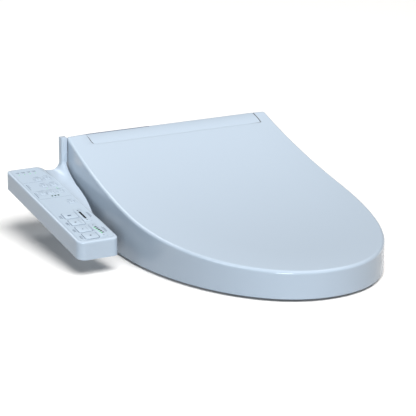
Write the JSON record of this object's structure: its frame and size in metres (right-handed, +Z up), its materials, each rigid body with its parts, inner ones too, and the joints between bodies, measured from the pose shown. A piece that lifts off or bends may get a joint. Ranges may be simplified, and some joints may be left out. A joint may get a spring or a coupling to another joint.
{
  "type": "electric bidet seat",
  "caption": "Electric bidet seat for an elongated toilet bowl, with a wedge-shaped lid, heated seat ring, retracting nozzle and a sloping side control arm with keys.",
  "frame": {"origin": "on the underside of the mounting plate, midway between its two fixing slots, in the plane of the bowl rim", "axes": "+Z up, +Y towards the tank, front of the seat towards -Y, +X to the right seen from the front, so the control arm is on -X"},
  "size_m": [0.4783, 0.539, 0.1434],
  "materials": {
    "gloss_shell": "glossy",
    "gloss_seat": "glossy",
    "satin_case": "satin",
    "panel_film": "satin",
    "keycap": "satin",
    "grey_plastic": "satin",
    "dark_plastic": "satin",
    "rubber": "matte",
    "light_guide": "glossy",
    "display_lens": "glossy",
    "steel": "brushed",
    "brass": "satin",
    "circuit_board": "matte",
    "heater_foil": "satin"
  },
  "bodies": {
    "mount": {"mounting_plate": "grey_plastic"},
    "unit": {"unit_base": "satin_case", "unit_cover": "satin_case", "top_trim_strip": "gloss_shell", "control_arm_shell": "gloss_shell", "panel_film": "panel_film", "pressure_display": "display_lens", "position_display": "display_lens", "status_light_guide": "light_guide", "mode_light_guide": "light_guide", "level_light_guide": "light_guide", "panel_board": "circuit_board", "hinge_pin_left": "steel", "hinge_pin_right": "steel", "hinge_damper_left": "dark_plastic", "hinge_damper_right": "dark_plastic", "nozzle_housing": "grey_plastic", "nozzle_motor": "steel", "heater_tank": "grey_plastic", "water_pump": "dark_plastic", "inlet_valve": "dark_plastic", "water_inlet": "brass", "blower_housing": "dark_plastic", "control_board": "circuit_board", "power_module": "grey_plastic", "power_gland": "dark_plastic"},
    "seat": {"seat_shell": "gloss_seat", "seat_bottom": "satin_case", "seat_heater": "heater_foil", "seat_bumper_front_left": "rubber", "seat_bumper_front_right": "rubber", "seat_bumper_rear_left": "rubber", "seat_bumper_rear_right": "rubber"},
    "lid": {"lid": "gloss_shell", "lid_bumper_left": "rubber", "lid_bumper_right": "rubber"},
    "sleeve": {"nozzle_sleeve": "keycap"},
    "wand": {"nozzle_wand": "gloss_seat", "nozzle_tip": "grey_plastic"},
    "gate": {"nozzle_gate": "gloss_shell"},
    "pinion": {"drive_pinion": "dark_plastic"},
    "blower": {"blower_wheel": "grey_plastic"},
    "cartridge": {"deodorizer_cartridge": "grey_plastic"},
    "drain": {"drain_plug": "grey_plastic"},
    "release": {"release_button": "grey_plastic"},
    "sitting_switch": {"seat_switch": "dark_plastic"},
    "stop_key": {"stop_key": "keycap"},
    "rear_wash_key": {"rear_wash_key": "keycap"},
    "front_wash_key": {"front_wash_key": "keycap"},
    "dryer_key": {"dryer_key": "keycap"},
    "power_key": {"power_key": "keycap"},
    "energy_saver_key": {"energy_saver_key": "keycap"},
    "deodorizer_key": {"deodorizer_key": "keycap"},
    "night_light_key": {"night_light_key": "keycap"},
    "water_heat_key": {"water_heat_key": "keycap"},
    "seat_heat_key": {"seat_heat_key": "keycap"},
    "dryer_heat_key": {"dryer_heat_key": "keycap"},
    "preset_key": {"preset_key": "keycap"},
    "pressure_rocker": {"pressure_rocker": "keycap"},
    "position_rocker": {"position_rocker": "keycap"}
  },
  "joints": [
    {"name": "unit_slide", "type": "slide", "parent": "mount", "child": "unit", "axis": [0, -1, 0], "range_m": [0, 0.05]},
    {"name": "seat_hinge", "type": "hinge", "parent": "unit", "child": "seat", "pos_m": [0, 0.058, 0.121], "axis": [-1, 0, 0], "range_deg": [0, 100]},
    {"name": "lid_hinge", "type": "hinge", "parent": "seat", "child": "lid", "pos_m": [0, 0.058, 0.121], "axis": [1, 0, 0], "range_deg": [-100, 0]},
    {"name": "nozzle_slide", "type": "slide", "parent": "unit", "child": "sleeve", "axis": [0, -0.8192, -0.5736], "range_m": [0, 0.058]},
    {"name": "wand_slide", "type": "slide", "parent": "sleeve", "child": "wand", "axis": [0, -0.8192, -0.5736], "range_m": [0, 0.058]},
    {"name": "gate_hinge", "type": "hinge", "parent": "unit", "child": "gate", "pos_m": [0, -0.079, 0.0415], "axis": [-1, 0, 0], "range_deg": [0, 81]},
    {"name": "pinion_spin", "type": "hinge", "parent": "unit", "child": "pinion", "pos_m": [0, -0.02439, 0.08206], "axis": [-1, 0, 0], "range_deg": [0, 560]},
    {"name": "blower_spin", "type": "hinge", "parent": "unit", "child": "blower", "pos_m": [0.03, 0.038, 0.088], "axis": [1, 0, 0], "continuous": true},
    {"name": "cartridge_slide", "type": "slide", "parent": "unit", "child": "cartridge", "axis": [0, 1, 0], "range_m": [0, 0.045]},
    {"name": "drain_turn", "type": "hinge", "parent": "unit", "child": "drain", "pos_m": [0.112, 0.06, 0.024], "axis": [0, 1, 0], "range_deg": [0, 90]},
    {"name": "release_press", "type": "slide", "parent": "unit", "child": "release", "axis": [-1, 0, 0], "range_m": [0, 0.0025], "stiffness_N_per_m": 800},
    {"name": "sitting_press", "type": "slide", "parent": "unit", "child": "sitting_switch", "axis": [0, 0, -1], "range_m": [0, 0.0015], "stiffness_N_per_m": 800},
    {"name": "stop_key_press", "type": "slide", "parent": "unit", "child": "stop_key", "axis": [0, 0.1647, -0.9863], "range_m": [0, 0.0008], "stiffness_N_per_m": 1500},
    {"name": "rear_wash_key_press", "type": "slide", "parent": "unit", "child": "rear_wash_key", "axis": [0, 0.1647, -0.9863], "range_m": [0, 0.0008], "stiffness_N_per_m": 1500},
    {"name": "front_wash_key_press", "type": "slide", "parent": "unit", "child": "front_wash_key", "axis": [0, 0.1647, -0.9863], "range_m": [0, 0.0008], "stiffness_N_per_m": 1500},
    {"name": "dryer_key_press", "type": "slide", "parent": "unit", "child": "dryer_key", "axis": [0, 0.1647, -0.9863], "range_m": [0, 0.0008], "stiffness_N_per_m": 1500},
    {"name": "power_key_press", "type": "slide", "parent": "unit", "child": "power_key", "axis": [0, 0.1647, -0.9863], "range_m": [0, 0.0005], "stiffness_N_per_m": 1500},
    {"name": "energy_saver_key_press", "type": "slide", "parent": "unit", "child": "energy_saver_key", "axis": [0, 0.1647, -0.9863], "range_m": [0, 0.0005], "stiffness_N_per_m": 1500},
    {"name": "deodorizer_key_press", "type": "slide", "parent": "unit", "child": "deodorizer_key", "axis": [0, 0.1647, -0.9863], "range_m": [0, 0.0005], "stiffness_N_per_m": 1500},
    {"name": "night_light_key_press", "type": "slide", "parent": "unit", "child": "night_light_key", "axis": [0, 0.1647, -0.9863], "range_m": [0, 0.0005], "stiffness_N_per_m": 1500},
    {"name": "water_heat_key_press", "type": "slide", "parent": "unit", "child": "water_heat_key", "axis": [0, 0.1647, -0.9863], "range_m": [0, 0.0005], "stiffness_N_per_m": 1500},
    {"name": "seat_heat_key_press", "type": "slide", "parent": "unit", "child": "seat_heat_key", "axis": [0, 0.1647, -0.9863], "range_m": [0, 0.0005], "stiffness_N_per_m": 1500},
    {"name": "dryer_heat_key_press", "type": "slide", "parent": "unit", "child": "dryer_heat_key", "axis": [0, 0.1647, -0.9863], "range_m": [0, 0.0005], "stiffness_N_per_m": 1500},
    {"name": "preset_key_press", "type": "slide", "parent": "unit", "child": "preset_key", "axis": [0, 0.1647, -0.9863], "range_m": [0, 0.0005], "stiffness_N_per_m": 1500},
    {"name": "pressure_rocker_tilt", "type": "hinge", "parent": "unit", "child": "pressure_rocker", "pos_m": [-0.2424, -0.12123, 0.06635], "axis": [1, 0, 0], "range_deg": [-2, 2], "stiffness_Nm_per_rad": 0.6},
    {"name": "position_rocker_tilt", "type": "hinge", "parent": "unit", "child": "position_rocker", "pos_m": [-0.2421, -0.17478, 0.05741], "axis": [1, 0, 0], "range_deg": [-2, 2], "stiffness_Nm_per_rad": 0.6}
  ],
  "couplings": [
    {"joint": "wand_slide", "follows": "nozzle_slide", "ratio": 1},
    {"joint": "gate_hinge", "follows": "nozzle_slide", "rad_per_m": 24.07},
    {"joint": "pinion_spin", "follows": "nozzle_slide", "rad_per_m": 166.67}
  ]
}
